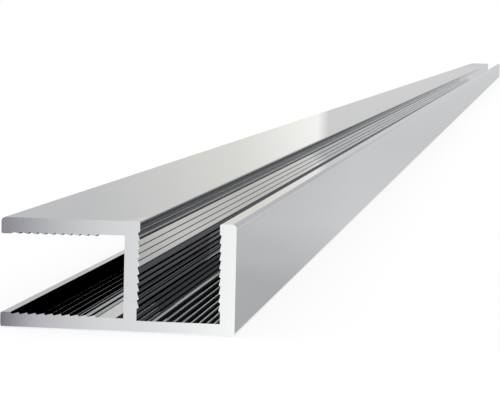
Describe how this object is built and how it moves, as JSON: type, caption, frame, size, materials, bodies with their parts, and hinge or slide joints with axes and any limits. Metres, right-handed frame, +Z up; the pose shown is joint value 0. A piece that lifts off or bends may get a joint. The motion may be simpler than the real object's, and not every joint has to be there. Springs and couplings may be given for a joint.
{
  "type": "aluminium extrusion profile",
  "caption": "Straight aluminium extrusion with two toothed channels at a right angle, which grip the edges of two boards where they meet in a corner.",
  "frame": {"origin": "on the floor under the middle of the stock, at the middle of its width and of its length", "axes": "+X across the section from the open left channel to the outer wall, +Y along the stock, +Z up out of the right channel's mouth"},
  "size_m": [0.0298, 2, 0.014],
  "materials": {
    "aluminium": "bright extruded skin with fine die lines along the length and satin saw-cut ends"
  },
  "bodies": {
    "root": {"profile": "aluminium"}
  },
  "joints": []
}
